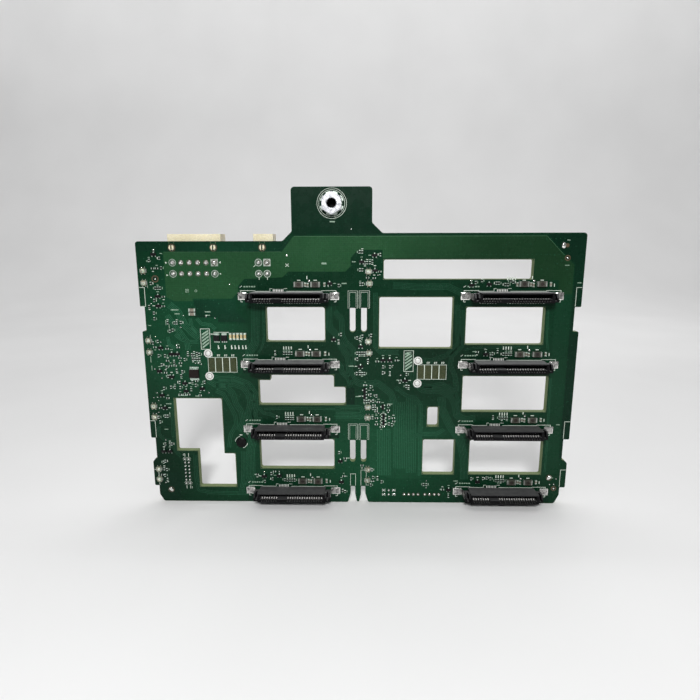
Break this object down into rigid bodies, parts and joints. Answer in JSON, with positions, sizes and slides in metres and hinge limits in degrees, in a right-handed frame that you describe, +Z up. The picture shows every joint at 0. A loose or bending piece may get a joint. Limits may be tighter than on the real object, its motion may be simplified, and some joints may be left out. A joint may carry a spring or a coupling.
{
  "type": "drive backplane board",
  "caption": "Upright green circuit board with two columns of black drive sockets on its front, large air cut-outs, a top mounting tab and cream power headers on its rear.",
  "frame": {"origin": "centre of the threaded mounting nut in the top tab, at the bottom of its blind hole, level with the board's rear face", "axes": "+Z up along the board, +X to the right as seen from the drive side, +Y to the rear, so the drive side faces -Y"},
  "size_m": [0.2215, 0.0236, 0.1645],
  "materials": {
    "board_laminate": "green solder mask",
    "cage_metal": "plated sheet",
    "capacitor_ceramic": "tan",
    "chip_black_plastic": "moulded black",
    "chip_dark_plastic": "moulded, dark brown",
    "choke_ferrite": "grey brown ferrite",
    "choke_winding": "dark potting",
    "clip_metal": "tinned",
    "contact_metal": "plated",
    "cream_plastic": "moulded nylon, natural",
    "film_chip_orange": "orange",
    "light_lens": "cast resin",
    "light_white_plastic": "white moulded",
    "nut_metal": "bright plated",
    "pin_metal": "tinned",
    "plug_plastic": "moulded black",
    "receptacle_plastic": "moulded black",
    "resistor_ceramic": "dark film on ceramic",
    "socket_plastic": "moulded black",
    "solder_metal": "tinned"
  },
  "bodies": {
    "root": {"capacitor_bodies": "capacitor_ceramic", "capacitor_terminals": "solder_metal", "choke_bodies": "choke_ferrite", "choke_coils": "choke_winding", "choke_terminals": "solder_metal", "circuit_board": "board_laminate", "data_receptacle_cage_left": "cage_metal", "data_receptacle_cage_right": "cage_metal", "data_receptacle_contacts_left": "contact_metal", "data_receptacle_contacts_right": "contact_metal", "data_receptacle_left": "receptacle_plastic", "data_receptacle_right": "receptacle_plastic", "drive_socket_1": "socket_plastic", "drive_socket_2": "socket_plastic", "drive_socket_3": "socket_plastic", "drive_socket_4": "socket_plastic", "drive_socket_5": "socket_plastic", "drive_socket_6": "socket_plastic", "drive_socket_7": "socket_plastic", "drive_socket_8": "socket_plastic", "drive_socket_clips_1": "clip_metal", "drive_socket_clips_2": "clip_metal", "drive_socket_clips_3": "clip_metal", "drive_socket_clips_4": "clip_metal", "drive_socket_clips_5": "clip_metal", "drive_socket_clips_6": "clip_metal", "drive_socket_clips_7": "clip_metal", "drive_socket_clips_8": "clip_metal", "drive_socket_contacts_1": "contact_metal", "drive_socket_contacts_2": "contact_metal", "drive_socket_contacts_3": "contact_metal", "drive_socket_contacts_4": "contact_metal", "drive_socket_contacts_5": "contact_metal", "drive_socket_contacts_6": "contact_metal", "drive_socket_contacts_7": "contact_metal", "drive_socket_contacts_8": "contact_metal", "film_chip_bodies": "film_chip_orange", "film_chip_terminals": "solder_metal", "hole_plug": "plug_plastic", "light_bases": "light_white_plastic", "light_lenses": "light_lens", "light_terminals": "solder_metal", "microcontroller_body": "chip_dark_plastic", "microcontroller_leads": "solder_metal", "mounting_nut": "nut_metal", "power_header_12_body": "cream_plastic", "power_header_12_pins": "pin_metal", "power_header_4_body": "cream_plastic", "power_header_4_pins": "pin_metal", "regulator_bodies": "chip_black_plastic", "regulator_leads": "solder_metal", "resistor_bodies": "resistor_ceramic", "resistor_terminals": "solder_metal", "service_header_body": "receptacle_plastic", "service_header_pins": "pin_metal", "transistor_bodies": "chip_black_plastic", "transistor_leads": "solder_metal"}
  },
  "joints": []
}
